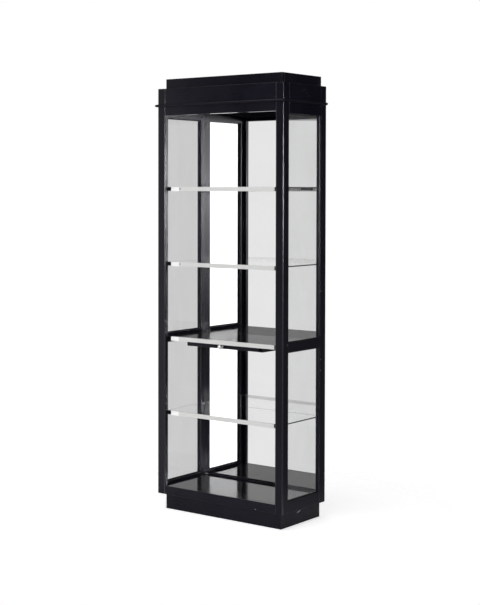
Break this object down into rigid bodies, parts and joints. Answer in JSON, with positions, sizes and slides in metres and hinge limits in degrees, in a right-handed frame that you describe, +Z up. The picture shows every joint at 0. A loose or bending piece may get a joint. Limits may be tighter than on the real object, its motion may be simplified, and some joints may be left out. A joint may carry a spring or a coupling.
{
  "type": "glass display showcase",
  "caption": "Tall open-front display cabinet with a black wooden frame, glass sides, mirror back, glass shelves with white edge strips and a small pull-out slide.",
  "frame": {"origin": "on the floor under the middle of the bounding box", "axes": "+Z up, -Y out of the open front, +X to the right of someone looking at the front"},
  "size_m": [0.7706, 0.3584, 2.1],
  "materials": {
    "black_paint": "black satin lacquer on wood",
    "black_gloss": "polished black lacquer on board",
    "clear_glass": "clear float glass, polished edges",
    "silver_mirror": "silvered mirror glass",
    "white_strip": "ivory white, satin gloss",
    "nickel": "satin nickel",
    "hardboard": "dull black painted hardboard"
  },
  "bodies": {
    "cabinet": {"plinth_front": "black_paint", "plinth_back": "black_paint", "plinth_left": "black_paint", "plinth_right": "black_paint", "bottom_rail_front": "black_paint", "bottom_rail_back": "black_paint", "bottom_rail_left": "black_paint", "bottom_rail_right": "black_paint", "post_front_left": "black_paint", "post_front_right": "black_paint", "post_rear_left": "black_paint", "post_rear_right": "black_paint", "mid_rail_left": "black_paint", "mid_rail_right": "black_paint", "head_rail_front": "black_paint", "head_rail_back": "black_paint", "head_rail_left": "black_paint", "head_rail_right": "black_paint", "base_board": "black_paint", "top_deck": "black_paint", "bead_front": "black_paint", "bead_left": "black_paint", "bead_right": "black_paint", "crown_front": "black_paint", "crown_back": "black_paint", "crown_left": "black_paint", "crown_right": "black_paint", "crown_top": "black_paint", "slide_runner_left": "black_paint", "slide_runner_right": "black_paint", "shelf_bracket_low_left": "black_paint", "shelf_bracket_low_right": "black_paint", "shelf_bracket_high_left": "black_paint", "shelf_bracket_high_right": "black_paint", "shelf_bracket_top_left": "black_paint", "shelf_bracket_top_right": "black_paint", "floor_panel": "black_gloss", "ceiling_panel": "black_gloss", "shelf_middle": "black_gloss", "shelf_glass_low": "clear_glass", "shelf_glass_high": "clear_glass", "shelf_glass_top": "clear_glass", "side_glass_lower_left": "clear_glass", "side_glass_lower_right": "clear_glass", "side_glass_upper_left": "clear_glass", "side_glass_upper_right": "clear_glass", "mirror": "silver_mirror", "edge_strip_low": "white_strip", "edge_strip_middle": "white_strip", "edge_strip_high": "white_strip", "edge_strip_top": "white_strip", "shelf_pin_low_left": "nickel", "shelf_pin_low_right": "nickel", "shelf_pin_high_left": "nickel", "shelf_pin_high_right": "nickel", "shelf_pin_top_left": "nickel", "shelf_pin_top_right": "nickel", "back_panel": "hardboard"},
    "slide": {"pull_slide": "black_paint", "slide_knob": "nickel"}
  },
  "joints": [
    {"name": "slide_pull", "type": "slide", "parent": "cabinet", "child": "slide", "axis": [0, -1, 0], "range_m": [0, 0.2]}
  ]
}
